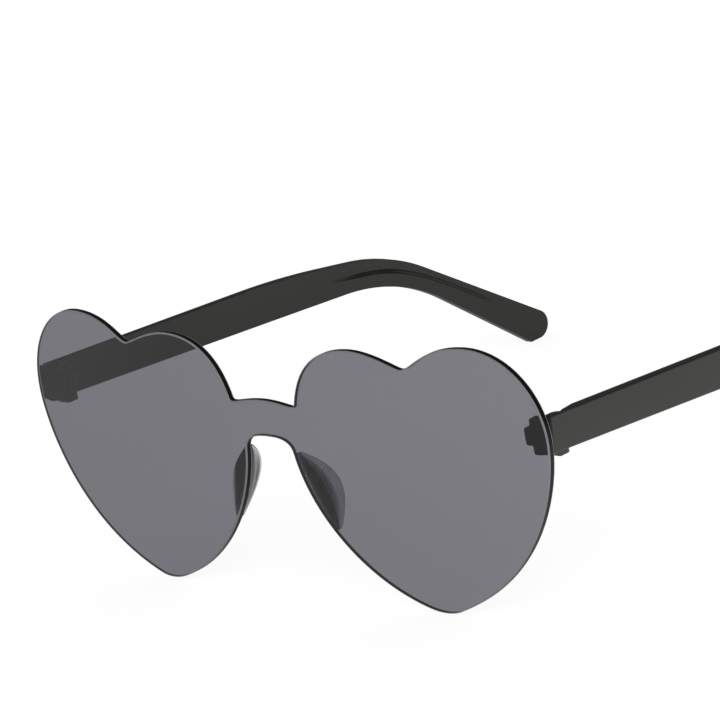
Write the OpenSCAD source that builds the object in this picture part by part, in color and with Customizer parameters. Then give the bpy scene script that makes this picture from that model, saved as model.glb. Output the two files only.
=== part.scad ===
// Rimless sunglasses: a one piece shield lens cut as two hearts, with two folding temples.
// Lengths are millimetres. X runs across the front with +X at the wearer's left,
// Y runs back towards the ears and Z is up. The glasses stand on the two heart tips
// and the two temple tips, and the origin is under the middle of the whole.

/* [Shield lens] */
// Width of the front over both hearts
front_w = 150; // [135:1:165]
// Height of a heart, from its tip to the top of its outer lobe
heart_h = 57.3; // [50:0.1:64]
// Gap between the hearts above the bridge
bridge_gap = 18.8; // [15:0.1:24]
// Height of the bridge at its middle
bridge_h = 7.8; // [5:0.1:11]
// Width of the nose notch under the bridge
notch_w = 13.9; // [10:0.1:18]
// Height of the rounded top of the nose notch
notch_round_h = 3.3; // [2:0.1:4.5]
// Size of the small round in each corner of the bridge
bridge_corner = 1; // [0.4:0.1:1.6]
// Thickness of the lens
lens_t = 1.6; // [1:0.1:2.4]
// Radius of the lens's front surface
lens_r = 470; // [300:5:700]

/* [Nose pads] */
// Width of a pad where it is bonded to the lens
pad_w = 4.2; // [3.4:0.1:5]
// How far a pad stands out behind the lens
pad_depth = 5.6; // [4:0.1:6.5]
// Thickness of a pad's rear edge
pad_edge_t = 0.8; // [0.5:0.1:1.2]
// How far a pad's rear edge leans away from the nose
pad_flare = 2.2; // [1:0.1:2.5]
// Set back of a pad from the edge of the lens
pad_inset = 0.25; // [0.1:0.05:0.6]

/* [Endpieces] */
// Height of the foot bonded behind the lens
foot_h = 7.7; // [6:0.1:8.5]
// Width of the foot at its upper and lower steps
foot_w = 2.7; // [2.2:0.1:4]
// Height of the foot's middle tab
tab_h = 3.8; // [2:0.1:4.6]
// Reach of the middle tab past the steps
tab_reach = 1.6; // [1:0.1:3]
// Thickness of the foot
foot_t = 1.8; // [1:0.1:2.4]
// Round on the foot's corners
foot_corner_r = 0.6; // [0.2:0.1:0.9]
// How far the foot's middle lies above the knuckles' middle
foot_rise = 1.3; // [0.6:0.1:1.6]
// Overall height of the hinge, over its three knuckles
fork_h = 8.2; // [7:0.1:9.4]
// Height of the middle knuckle
tongue_h = 3.4; // [3:0.1:4.4]
// Outer radius of the knuckles
knuckle_r = 1.5; // [1.3:0.05:1.7]
// Height of the hinge's middle above the table
hinge_z = 38; // [32:0.1:42]
// Distance of the hinge axis behind the lens
hinge_setback = 4.9; // [4.1:0.1:6]

/* [Hinge screws] */
// Radius of the shank
screw_r = 0.7; // [0.5:0.05:0.8]
// Radius of the head
head_r = 1; // [0.9:0.05:1.1]
// Height of the head
head_h = 0.5; // [0.4:0.05:0.8]
// Width of the driver slot
slot_w = 0.3; // [0.2:0.05:0.4]
// Depth of the driver slot
slot_d = 0.25; // [0.15:0.05:0.3]

/* [Temples] */
// Thickness of a temple
temple_t = 2.3; // [2:0.1:3.2]
// Height of the arm at the hinge
arm_front_h = 7.8; // [7:0.1:8.2]
// Height of the arm at its crown
arm_h = 8.4; // [7.8:0.1:9.2]
// Slope of the arm, down towards the ear
arm_drop = 4.1; // [2:0.1:6]
// Length of the arm, from the hinge to the elbow over the ear
arm_len = 96.5; // [84:0.5:110]
// Distance of the crown of the upper edge in front of the elbow
crown_lead = 31.5; // [28:0.5:40]
// Slope of the upper edge behind the crown
crown_drop = 9.3; // [8:0.1:11]
// Radius of the crown
crown_r = 240; // [100:5:300]
// Slope of the ear piece
ear_drop = 34.7; // [28:0.1:42]
// Height of the ear piece at the elbow
ear_root_h = 3.7; // [3.2:0.1:5.5]
// Radius of the ear piece's rounded end
tip_r = 3.2; // [2.6:0.1:3.8]
// Length of the flat under the tip
tip_flat = 2.9; // [1:0.1:4]
// Radius of the elbow's upper edge
elbow_top_r = 53; // [35:1:60]
// Radius of the elbow's lower edge
elbow_low_r = 54; // [25:1:60]
// Inset of the temple's outer face from the widest part of the lens
temple_inset = 0.7; // [0.2:0.1:2]
// Height of the arm's middle above the hinge's middle
arm_rise = 0.9; // [0:0.1:1.2]
// Thickness of the cheek that hides the hinge from outside
cheek_t = 0.8; // [0.6:0.05:1]
// Length of the boss that blends the middle knuckle into the arm
boss_len = 5; // [3:0.1:8]

/* [Styling groove] */
// Width of the groove round the elbow's inner face
groove_w = 0.9; // [0.5:0.1:1.4]
// Depth of the groove
groove_d = 0.18; // [0.1:0.01:0.3]
// Radius of the groove's bend
groove_r = 50; // [40:1:60]
// Slope of the groove's front run
groove_drop = 7.5; // [4:0.5:12]
// Distance of the groove's corner behind the elbow
groove_back = 4.7; // [3:0.1:7]
// Distance of the groove's corner below the elbow
groove_below = 2.2; // [1.4:0.1:3]
// Length of the groove in front of its bend
groove_front_len = 9; // [4:0.5:12]
// Length of the groove behind its bend
groove_rear_len = 17; // [8:0.5:20]

/* [Hidden] */
$fn = 64;

// Clearances and overruns
glue_gap = 0.05;
front_gap = 0.45;
swing_gap = 0.15;
knuckle_gap = 0.1;
screw_gap = 0.04;
head_gap = 0.05;
over = 1;
lug_bite = 0.3;
ball_facets = 720;
curve_steps = 20;
elbow_steps = 24;
groove_fade_share = 1.2;
tip_steps = 20;
pad_rings = 28;
pad_wall_steps = 5;
pad_edge_steps = 4;

// The heart's shape, as shares of its width from the nose side and of its height from the tip
heart_w = (front_w - bridge_gap) / 2;
bridge_top_share = 0.757;
bridge_corner_share = 0.742;
inner_lobe_shares = [[0.029, 0.855], [0.09, 0.97], [0.26, 0.97]];
cleft_in_shares = [[0.353, 0.97], [0.454, 0.912], [0.47, 0.912]];
cleft_out_shares = [[0.516, 0.912], [0.565, 1], [0.718, 1]];
outer_lobe_shares = [[0.88, 1], [1, 0.849], [1, 0.67]];
side_shares = [[1, 0.54], [0.92, 0.17], [0.532, 0.01]];
tip_shares = [[0.497, -0.005], [0.45, -0.003], [0.402, 0.016]];
nose_low_shares = [0.16, 0.112];
nose_high_share = 0.343;
nose_flare_share = 0.03;
notch_round_shares = [[1, 0], [0.95, 0.92], [0.43, 1], [0, 1]];
bridge_crown_shares = [0.45, 0.75];

function on_heart(share) = [bridge_gap / 2 + share[0] * heart_w, share[1] * heart_h];
function bezier(p, t) =
    p[0] * pow(1 - t, 3) + p[1] * 3 * t * pow(1 - t, 2) + p[2] * 3 * t * t * (1 - t) + p[3] * pow(t, 3);
function bezier_way(p, t) =
    (p[1] - p[0]) * pow(1 - t, 2) + (p[2] - p[1]) * 2 * t * (1 - t) + (p[3] - p[2]) * t * t;
function unit(v) = v / norm(v);
function traced(curves) = [for (p = curves) for (i = [0:curve_steps - 1]) bezier(p, i / curve_steps)];

// Bridge: its top is slightly crowned and meets each heart in a small round
bridge_z = bridge_top_share * heart_h;
corner = [bridge_gap / 2, bridge_corner_share * heart_h];
corner_in = corner - [bridge_corner, 0];
corner_up = corner + bridge_corner * unit(on_heart(inner_lobe_shares[0]) - corner);
bridge_top = [
    [0, bridge_z], [bridge_crown_shares[0] * corner[0], bridge_z],
    [bridge_crown_shares[1] * corner[0], corner[1]], corner_in
];
bridge_round = [corner_in, corner, corner, corner_up];

// Nose notch: a rounded top, then a side that runs down and out to the heart's tip
notch_top_z = bridge_z - bridge_h;
notch_side_z = notch_top_z - notch_round_h;
nose_side = [
    [notch_w / 2, notch_side_z],
    [notch_w / 2 + nose_flare_share * heart_w, nose_high_share * heart_h],
    on_heart(nose_low_shares),
    on_heart(tip_shares[2])
];
notch_round = [
    for (s = notch_round_shares) [s[0] * notch_w / 2, notch_side_z + s[1] * notch_round_h]
];

function chained(start, shares) = concat([start], [for (s = shares) on_heart(s)]);
half_outline = traced([
    bridge_top,
    bridge_round,
    chained(corner_up, inner_lobe_shares),
    chained(on_heart(inner_lobe_shares[2]), cleft_in_shares),
    chained(on_heart(cleft_in_shares[2]), cleft_out_shares),
    chained(on_heart(cleft_out_shares[2]), outer_lobe_shares),
    chained(on_heart(outer_lobe_shares[2]), side_shares),
    chained(on_heart(side_shares[2]), tip_shares),
    [nose_side[3], nose_side[2], nose_side[1], nose_side[0]],
    notch_round
]);
last = len(half_outline) - 1;
outline = concat(
    half_outline,
    [[0, notch_top_z]],
    [for (i = [last:-1:1]) [-half_outline[i][0], half_outline[i][1]]]
);

// The lens is a shell between two balls about one centre
lens_mid_z = heart_h / 2;
function lens_back_y(x, z) =
    lens_r - sqrt(pow(lens_r - lens_t, 2) - x * x - pow(z - lens_mid_z, 2));
lens_front_y = lens_r - sqrt(lens_r * lens_r - pow(notch_top_z - lens_mid_z, 2));
lens_depth = lens_back_y(front_w / 2, heart_h);

// Hinge: the knuckles lie between the cheek and the inside
outer_x = front_w / 2 - temple_inset;
inner_x = outer_x - temple_t;
cheek_x = outer_x - cheek_t;
hinge_x = cheek_x - swing_gap - knuckle_r;
edge_back_y = lens_back_y(outer_x, hinge_z);
hinge_y = edge_back_y + hinge_setback;
arm_front_y = edge_back_y + front_gap;
web_back_y = hinge_y - knuckle_r - swing_gap;
swing_r = knuckle_r + swing_gap;
bore_r = screw_r + screw_gap;
lug_z = hinge_z + tongue_h / 2 + knuckle_gap;
lug_h = fork_h / 2 - tongue_h / 2 - knuckle_gap;
foot_pitch = asin((hinge_z + foot_rise - lens_mid_z) / lens_r);
foot_yaw = asin(hinge_x / lens_r / cos(foot_pitch));
body_front_y = lens_back_y(hinge_x, hinge_z) + foot_t / 2;
body_side = [
    [body_front_y, hinge_z + foot_rise - foot_h / 2],
    [web_back_y, hinge_z - fork_h / 2],
    [web_back_y, hinge_z + fork_h / 2],
    [body_front_y, hinge_z + fork_h / 2]
];

// Temple side view, in Y and Z
arm_way = [cos(arm_drop), -sin(arm_drop)];
arm_up = [sin(arm_drop), cos(arm_drop)];
crown_way = [cos(crown_drop), -sin(crown_drop)];
ear_way = [cos(ear_drop), -sin(ear_drop)];
ear_up = [sin(ear_drop), cos(ear_drop)];
arm_root = [hinge_y, hinge_z + arm_rise];
elbow_at = arm_root + arm_len * arm_way;
ear_len = (elbow_at[1] - tip_r) / sin(ear_drop);
tip_at = elbow_at + ear_len * ear_way;
heel_at = [tip_at[0] - tip_flat, 0];
toe_top = tip_at + tip_r * ear_up;

// Where the line from p along d meets the line from q along e
function meet(p, d, q, e) = p + d * ((q - p) * [e[1], -e[0]]) / (d * [e[1], -e[0]]);
function at_y(p, d, y) = [y, p[1] + d[1] * (y - p[0]) / d[0]];
// A round of radius r at the corner b, between the lines to a and c
function rounded(a, b, c, r) =
    let (
        to_a = unit(a - b),
        to_c = unit(c - b),
        half = acos(to_a * to_c) / 2,
        middle = b + unit(to_a + to_c) * r / sin(half),
        from = b + to_a * r / tan(half) - middle,
        to = b + to_c * r / tan(half) - middle,
        start = atan2(from[1], from[0]),
        turn = (atan2(to[1], to[0]) - start + 540) % 360 - 180
    )
    [for (i = [0:elbow_steps])
        let (angle = start + turn * i / elbow_steps)
        middle + r * [cos(angle), sin(angle)]];

front_low = at_y(arm_root - arm_front_h / 2 * arm_up, arm_way, arm_front_y);
front_top = front_low + arm_front_h * arm_up;
crown_at = elbow_at - crown_lead * arm_way + (arm_h - arm_front_h / 2) * arm_up;
ear_low = elbow_at - ear_root_h / 2 * ear_up;
ear_top = elbow_at + ear_root_h / 2 * ear_up;
low_corner = meet(front_low, arm_way, ear_low, heel_at - ear_low);
top_corner = meet(crown_at, crown_way, ear_top, toe_top - ear_top);
low_edge = concat([front_low], rounded(front_low, low_corner, heel_at, elbow_low_r), [heel_at]);
top_edge = concat(
    [front_top],
    rounded(front_top, crown_at, top_corner, crown_r),
    rounded(crown_at, top_corner, toe_top, elbow_top_r)
);
tip_round = [
    for (i = [0:tip_steps])
        let (angle = (180 - ear_drop) * i / tip_steps - 90)
        tip_at + tip_r * [cos(angle), sin(angle)]
];
temple_side = concat(low_edge, tip_round, [for (i = [len(top_edge) - 1:-1:0]) top_edge[i]]);

// The whole part is centred front to back
middle_y = (lens_front_y + tip_at[0] + tip_r) / 2;

module in_place() translate([0, -middle_y, 0]) children();
module lens_ball(r) translate([0, lens_r, lens_mid_z]) sphere(r, $fn = ball_facets);
// Draws an XZ shape and extrudes it back along Y
module backwards(from_y, to_y)
    translate([0, to_y, 0]) rotate([90, 0, 0]) linear_extrude(to_y - from_y) children();
// Draws a YZ shape and extrudes it out along X
module sideways(from_x, to_x)
    translate([from_x, 0, 0]) rotate([90, 0, 90]) linear_extrude(to_x - from_x) children();
module upwards(from_z, height) translate([0, 0, from_z]) linear_extrude(height) children();

module round_rect(x, z, w, h, r) {
    translate([x, z + r]) square([w, h - 2 * r]);
    translate([x + r, z]) square([w - 2 * r, h]);
    for (cx = [x + r, x + w - r], cz = [z + r, z + h - r]) translate([cx, cz]) circle(r);
}

module shield_lens() {
    color([0.42, 0.41, 0.46, 0.6]) in_place() intersection() {
        difference() {
            lens_ball(lens_r);
            lens_ball(lens_r - lens_t);
        }
        backwards(-over, lens_depth + over) polygon(outline);
    }
}

// The pad's spine follows this stretch of the nose notch's side
pad_span_shares = [0, 0.438];
pad_waist_shares = [0.35, 0.3];
function pad_bulge(s) = 4 * s * (1 - s);
// One cross section: n across from the lens's edge, d back from the lens
function pad_section(s) =
    let (
        w = pad_edge_t + (pad_w - pad_edge_t) * pad_bulge(s),
        d = pad_edge_t / 2 + (pad_depth - pad_edge_t) * pad_bulge(s),
        lean = pad_inset + pad_flare * pad_bulge(s),
        foot_out = [pad_inset + w, 0],
        edge_out = [lean + pad_edge_t, d],
        waist = [edge_out[0] + pad_waist_shares[0] * (w - pad_edge_t), pad_waist_shares[1] * d]
    )
    concat(
        [[pad_inset, 0]],
        [for (i = [0:pad_wall_steps])
            let (t = i / pad_wall_steps)
            foot_out * pow(1 - t, 2) + waist * 2 * t * (1 - t) + edge_out * t * t],
        [for (i = [1:pad_edge_steps])
            let (a = 180 * i / pad_edge_steps)
            [lean + pad_edge_t / 2 * (1 + cos(a)), d + pad_edge_t / 2 * sin(a)]]
    );
function pad_ring(s) =
    let (
        t = pad_span_shares[0] + s * (pad_span_shares[1] - pad_span_shares[0]),
        p = bezier(nose_side, t),
        way = unit(bezier_way(nose_side, t)),
        out = [-way[1], way[0]]
    )
    [for (q = pad_section(s))
        let (x = p[0] + out[0] * q[0], z = p[1] + out[1] * q[0])
        [x, lens_back_y(x, z) + glue_gap + q[1], z]];
pad_sides = pad_wall_steps + pad_edge_steps + 2;
pad_points = [for (k = [0:pad_rings]) each pad_ring((1 - cos(180 * k / pad_rings)) / 2)];
pad_faces = concat(
    [[for (i = [0:pad_sides - 1]) i]],
    [for (k = [0:pad_rings - 1], i = [0:pad_sides - 1])
        let (a = k * pad_sides + i, b = k * pad_sides + (i + 1) % pad_sides)
        each [[a, a + pad_sides, b], [b, a + pad_sides, b + pad_sides]]],
    [[for (i = [pad_sides - 1:-1:0]) pad_rings * pad_sides + i]]
);
module nose_pad() {
    color([0.3, 0.3, 0.31, 0.85]) in_place() polyhedron(pad_points, pad_faces);
}

// Foot, seen from the front: two steps and a longer middle tab
module foot_shape() {
    from_x = knuckle_r - foot_w;
    round_rect(from_x, -foot_h / 2, foot_w, foot_h, foot_corner_r);
    round_rect(from_x - tab_reach, -tab_h / 2, foot_w + tab_reach - foot_corner_r, tab_h, foot_corner_r);
}

module lug_shape() {
    lug_len = hinge_y - web_back_y + lug_bite;
    circle(knuckle_r);
    translate([-knuckle_r, -lug_len]) square([2 * knuckle_r, lug_len]);
}

module screw_bore()
    translate([hinge_x, hinge_y, hinge_z - fork_h / 2 - over]) cylinder(r = bore_r, h = fork_h + 2 * over);

// The foot is a flat plate laid against the curve of the lens
module endpiece() {
    color([0.16, 0.16, 0.15]) in_place() difference() {
        union() {
            translate([0, lens_r, lens_mid_z]) rotate([-foot_pitch, 0, foot_yaw])
                translate([0, lens_t + glue_gap - lens_r, 0]) backwards(0, foot_t) foot_shape();
            sideways(hinge_x - knuckle_r, hinge_x + knuckle_r) polygon(body_side);
            for (z = [lug_z, 2 * hinge_z - lug_z - lug_h])
                upwards(z, lug_h) translate([hinge_x, hinge_y]) lug_shape();
        }
        screw_bore();
        translate([hinge_x, hinge_y, hinge_z + fork_h / 2 - head_h])
            cylinder(r = head_r + head_gap, h = head_h + over);
    }
}

module hinge_screw() {
    color([0.75, 0.75, 0.77]) in_place() translate([hinge_x, hinge_y, hinge_z - fork_h / 2]) difference() {
        union() {
            cylinder(r = screw_r, h = fork_h);
            translate([0, 0, fork_h - head_h]) cylinder(r = head_r, h = head_h);
        }
        translate([-head_r - over, -slot_w / 2, fork_h - slot_d])
            cube([2 * (head_r + over), slot_w, slot_d + over]);
    }
}

// Room for the fork inside the cheek, seen from above
module pocket_shape() {
    room = hinge_y - arm_front_y + over;
    circle(swing_r);
    translate([-swing_r, -room]) square([2 * swing_r, room]);
}

// Middle knuckle, seen from above, with its web to the cheek and its boss along the arm
module tongue_shape() {
    circle(knuckle_r);
    translate([0, -knuckle_r]) square([cheek_x + cheek_t / 2 - hinge_x, 2 * knuckle_r + swing_gap]);
    polygon([
        [-knuckle_r, 0], [inner_x - hinge_x, boss_len], [cheek_x - hinge_x, boss_len], [cheek_x - hinge_x, 0]
    ]);
}

// Groove: a bend about groove_mid with a run off each end that fades out
groove_tube_r = (groove_w * groove_w / 4 + groove_d * groove_d) / (2 * groove_d);
groove_x = inner_x - groove_tube_r + groove_d;
groove_end_r = groove_tube_r - groove_fade_share * groove_d;
groove_corner = elbow_at + [groove_back, -groove_below];
groove_way = [cos(groove_drop), -sin(groove_drop)];
groove_turn = ear_drop - groove_drop;
groove_bend_len = groove_r * tan(groove_turn / 2);
groove_mid = groove_corner + unit(ear_way - groove_way) * groove_r / cos(groove_turn / 2);

module groove_run(from, angle, length) {
    translate([groove_x, from[0], from[1]]) rotate([angle - 90, 0, 0])
        cylinder(r1 = groove_tube_r, r2 = groove_end_r, h = length);
}
module groove() {
    groove_run(groove_corner - groove_bend_len * groove_way, 180 - groove_drop, groove_front_len);
    groove_run(groove_corner + groove_bend_len * ear_way, -ear_drop, groove_rear_len);
    translate([groove_x, groove_mid[0], groove_mid[1]]) rotate([90, 0, 90]) rotate([0, 0, 90 - ear_drop])
        rotate_extrude(angle = groove_turn) translate([groove_r, 0]) circle(groove_tube_r);
}

module temple() {
    color([0.2, 0.2, 0.185]) in_place() difference() {
        union() {
            difference() {
                sideways(inner_x, outer_x) polygon(temple_side);
                upwards(hinge_z - arm_h, 2 * arm_h) translate([hinge_x, hinge_y]) pocket_shape();
            }
            upwards(hinge_z - tongue_h / 2, tongue_h) translate([hinge_x, hinge_y]) tongue_shape();
        }
        screw_bore();
        groove();
    }
}

module other_side() mirror([1, 0, 0]) children();

shield_lens();
nose_pad();  // nose_pad_left
other_side() nose_pad();  // nose_pad_right
endpiece();  // endpiece_left
other_side() endpiece();  // endpiece_right
hinge_screw();  // hinge_screw_left
other_side() hinge_screw();  // hinge_screw_right
temple();  // temple_left
other_side() temple();  // temple_right
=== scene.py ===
import math
import bmesh
import bpy
import numpy as np
from mathutils import Matrix, Vector
from mathutils.geometry import delaunay_2d_cdt


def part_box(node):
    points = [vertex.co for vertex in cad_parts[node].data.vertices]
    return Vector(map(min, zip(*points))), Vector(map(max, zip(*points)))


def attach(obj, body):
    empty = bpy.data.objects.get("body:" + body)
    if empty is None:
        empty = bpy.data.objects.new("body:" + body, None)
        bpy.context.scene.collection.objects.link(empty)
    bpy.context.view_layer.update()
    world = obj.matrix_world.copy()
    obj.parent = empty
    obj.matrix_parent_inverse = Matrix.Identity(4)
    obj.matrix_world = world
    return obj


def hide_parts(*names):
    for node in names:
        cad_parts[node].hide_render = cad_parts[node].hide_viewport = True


# Heart shaped rimless sunglasses. +X is the wearer's left, +Y runs back to the ears, +Z is up.
# Lengths in the dictionaries are millimetres where nothing else is said, and objects are in metres.

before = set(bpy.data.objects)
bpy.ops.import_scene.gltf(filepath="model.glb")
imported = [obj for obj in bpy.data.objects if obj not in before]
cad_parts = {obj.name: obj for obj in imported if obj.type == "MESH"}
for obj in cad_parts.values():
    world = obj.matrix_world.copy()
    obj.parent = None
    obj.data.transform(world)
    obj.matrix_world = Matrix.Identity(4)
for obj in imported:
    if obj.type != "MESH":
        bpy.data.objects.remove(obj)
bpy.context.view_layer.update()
mm = 0.001
photoSize = 720  # pixels along each side of the photo
mergeDistance = 0.002 * mm
flatAngle = math.radians(0.1)  # faces that turn less than this make one face


def linearColour(hexColour):
    # sRGB hex to the linear numbers that sockets take
    channels = [int(hexColour[i:i + 2], 16) / 255 for i in (1, 3, 5)]
    return [c / 12.92 if c <= 0.04045 else ((c + 0.055) / 1.055) ** 2.4 for c in channels] + [1]


def addNode(tree, kind, settings=None, links=None):
    # Settings hold inputs by name or number, or the node's own properties.
    # Links hold inputs and what feeds them.
    node = tree.nodes.new(kind)
    for key, value in (settings or {}).items():
        if isinstance(key, int) or (key in node.inputs and not hasattr(node, key)):
            node.inputs[key].default_value = value
        else:
            setattr(node, key, value)
    for key, source in (links or {}).items():
        tree.links.new(source, node.inputs[key])
    return node


def newMaterial(name):
    material = bpy.data.materials.new(name)
    material.use_nodes = True
    tree = material.node_tree
    tree.nodes.clear()
    output = addNode(tree, "ShaderNodeOutputMaterial")
    return material, tree, output


def meshObject(name, vertices, faces):
    mesh = bpy.data.meshes.new(name)
    mesh.from_pydata([tuple(v) for v in vertices], [], faces)
    mesh.update()
    piece = bpy.data.objects.new(name, mesh)
    bpy.context.scene.collection.objects.link(piece)
    return piece


def pointOutwards(piece):
    shape = bmesh.new()
    shape.from_mesh(piece.data)
    bmesh.ops.recalc_face_normals(shape, faces=shape.faces)
    shape.to_mesh(piece.data)
    shape.free()


def settle(piece):
    # What the modifiers make becomes the piece's own plain mesh
    bpy.context.view_layer.update()
    shown = piece.evaluated_get(bpy.context.evaluated_depsgraph_get())
    made = bpy.data.meshes.new_from_object(shown)
    old = piece.data
    piece.modifiers.clear()
    piece.data = made
    bpy.data.meshes.remove(old)
    made.name = piece.name


def combine(piece, tool, operation):
    # Joins the tool to the piece, or cuts it out, and uses it up
    pointOutwards(tool)
    boolean = piece.modifiers.new("combine", "BOOLEAN")
    boolean.operation, boolean.solver, boolean.object = operation, "EXACT", tool
    settle(piece)
    bpy.data.objects.remove(tool)


def roundEdges(piece, look):
    # Rounds every edge that turns more than the look's bevel angle
    bevel = piece.modifiers.new("round", "BEVEL")
    bevel.width, bevel.segments = look["round"] * mm, look["steps"]
    bevel.limit_method, bevel.angle_limit = "ANGLE", math.radians(look["bevelAngle"])
    settle(piece)


def markSharp(piece, angle):
    piece.data.polygons.foreach_set("use_smooth", [True] * len(piece.data.polygons))
    piece.data.set_sharp_from_angle(angle=math.radians(angle))


def smoothSkin(piece, angle):
    markSharp(piece, angle)
    weighted = piece.modifiers.new("weighted", "WEIGHTED_NORMAL")
    weighted.keep_sharp = True
    weighted.weight = 80  # large faces lead, so flats stay flat beside their rounded edges
    settle(piece)


def finishPiece(piece, body, nodes, material):
    if material.name not in [m.name for m in piece.data.materials if m]:
        piece.data.materials.clear()
        piece.data.materials.append(material)
    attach(piece, body)
    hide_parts(*nodes)


# The camera stands where the photo was taken from
cameraFit = {
    "azimuth": 48.5,  # degrees from straight in front, towards the wearer's left
    "elevation": 16.814,
    "roll": -11.357,
    "distance": 1.5596,  # metres from the aim
    "aim": (0, -0.0768111, 0.0289),  # middle of the lens, in metres
    "aimPixel": (272.599, 467.571),  # where the aim lies in the photo
    "focalPixels": 7625,
    "sensorWidth": 36,
    "clip": (0.05, 50),  # metres
}


def makeCamera(fit):
    a, e, roll = (math.radians(fit[k]) for k in ("azimuth", "elevation", "roll"))
    look = Vector((-math.sin(a) * math.cos(e), math.cos(a) * math.cos(e), -math.sin(e)))
    level = Vector((math.cos(a), math.sin(a), 0))
    over = level.cross(look)
    right = level * math.cos(roll) + over * math.sin(roll)
    up = over * math.cos(roll) - level * math.sin(roll)
    # The camera turns to the middle of the photo, so that it needs no shift
    middle = photoSize / 2
    px, py = fit["aimPixel"]
    toMiddle = (look * fit["focalPixels"] + right * (middle - px) + up * (py - middle)).normalized()
    right = (right - toMiddle * right.dot(toMiddle)).normalized()
    up = right.cross(toMiddle)
    data = bpy.data.cameras.new("camera")
    data.sensor_width = fit["sensorWidth"]
    data.lens = fit["focalPixels"] / photoSize * fit["sensorWidth"]
    data.clip_start, data.clip_end = fit["clip"]
    camera = bpy.data.objects.new("camera", data)
    camera.matrix_world = Matrix((right, up, -toMiddle)).transposed().to_4x4()
    camera.location = Vector(fit["aim"]) - look * fit["distance"]
    bpy.context.scene.collection.objects.link(camera)
    bpy.context.scene.camera = camera


makeCamera(cameraFit)
print("camera placed")

# Materials
smokeLook = {
    "surface": "#ffffff",
    "tint": "#473e5d",  # a little less blue is taken out than red and green
    "density": 1130,  # per metre, which leaves a third of the light after a millimetre
    "ior": 1.585,
    "rough": (0.0, 0.02),
    "haze": 1.111,  # size of the patches that differ in roughness
    "flow": 16.667,  # length of the mould's slow waves
    "waviness": 0.006,
}
# The pads come from a satin tool, which leaves their reflections blurred
satinLook = dict(smokeLook, rough=(0.08, 0.14), waviness=0.02)


def makeSmokePolycarbonate(name, look):
    # Polycarbonate dyed smoke grey and moulded in a polished tool: clear, deep grey, sharp reflections
    material, tree, output = newMaterial(name)
    place = addNode(tree, "ShaderNodeTexCoord").outputs["Object"]
    flow = addNode(
        tree, "ShaderNodeTexNoise", {"Scale": 1 / (look["flow"] * mm), "Detail": 1.5}, {"Vector": place}
    )
    haze = addNode(
        tree, "ShaderNodeTexNoise", {"Scale": 1 / (look["haze"] * mm), "Detail": 3}, {"Vector": place}
    )
    rough = addNode(
        tree,
        "ShaderNodeMapRange",
        {"To Min": look["rough"][0], "To Max": look["rough"][1]},
        {"Value": haze.outputs["Fac"]},
    )
    bump = addNode(
        tree,
        "ShaderNodeBump",
        {"Strength": look["waviness"], "Distance": mm},
        {"Height": flow.outputs["Fac"]},
    )
    shader = addNode(
        tree,
        "ShaderNodeBsdfPrincipled",
        {"Base Color": linearColour(look["surface"]), "IOR": look["ior"], "Transmission Weight": 1},
        {"Roughness": rough.outputs["Result"], "Normal": bump.outputs["Normal"]},
    )
    inside = addNode(
        tree, "ShaderNodeVolumeAbsorption", {"Color": linearColour(look["tint"]), "Density": look["density"]}
    )
    tree.links.new(shader.outputs["BSDF"], output.inputs["Surface"])
    tree.links.new(inside.outputs["Volume"], output.inputs["Volume"])
    return material


smokePolycarbonate = makeSmokePolycarbonate("smokePolycarbonate", smokeLook)
satinPolycarbonate = makeSmokePolycarbonate("satinSmokePolycarbonate", satinLook)

# The marks of the cutter are really finer, but would not show at this size
# The bevels' light grey is partly a painted highlight, in place of the reflection on the bevel
groundBevelAndHighlightLook = {"dark": "#9c9ca2", "light": "#b6b6ba", "rough": 0.45, "gloss": 0.5, "marks": 0.25, "ior": 1.585}
rimLook = {"dark": "#161616", "light": "#242425", "rough": 0.3, "gloss": 0.12, "marks": 0.25, "ior": 1.585}


def makeCutEdge(name, look):
    # Polycarbonate as the cutter leaves it: fine marks scatter the light, so the edge is dull. On the bevels
    # its light grey is partly a painted highlight
    material, tree, output = newMaterial(name)
    place = addNode(tree, "ShaderNodeTexCoord")
    marks = addNode(
        tree,
        "ShaderNodeTexNoise",
        {"Scale": 1 / (look["marks"] * mm), "Detail": 2},
        {"Vector": place.outputs["Object"]},
    )
    colour = addNode(
        tree,
        "ShaderNodeMix",
        {"data_type": "RGBA", 6: linearColour(look["dark"]), 7: linearColour(look["light"])},
        {0: marks.outputs["Fac"]},
    )
    shader = addNode(
        tree,
        "ShaderNodeBsdfPrincipled",
        {"IOR": look["ior"], "Roughness": look["rough"], "Specular IOR Level": look["gloss"]},
        {"Base Color": colour.outputs[2]},
    )
    tree.links.new(shader.outputs["BSDF"], output.inputs["Surface"])
    return material


# The small bevels front and back are left matt and painted light grey. Their light lines are partly a painted
# highlight that stands in for the reflection on the bevel
groundBevelAndPaintedHighlight = makeCutEdge("groundPolycarbonateBevelPaintedHighlight", groundBevelAndHighlightLook)
# Seen through the whole width of the lens the tint is nearly black, which is what the rim shows
rimEdge = makeCutEdge("smokePolycarbonateRim", rimLook)

plasticLook = {
    "dark": "#373732",
    "light": "#3e3e39",
    "cloud": 22.222,  # size of the soft patches of colour
    "grain": 0.35,  # the real grain is finer, but would not show at this size
    "grainDepth": 0.004,
    "grainStrength": 0.4,
    "rough": (0.33, 0.41),
    "ior": 1.5,
}


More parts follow.
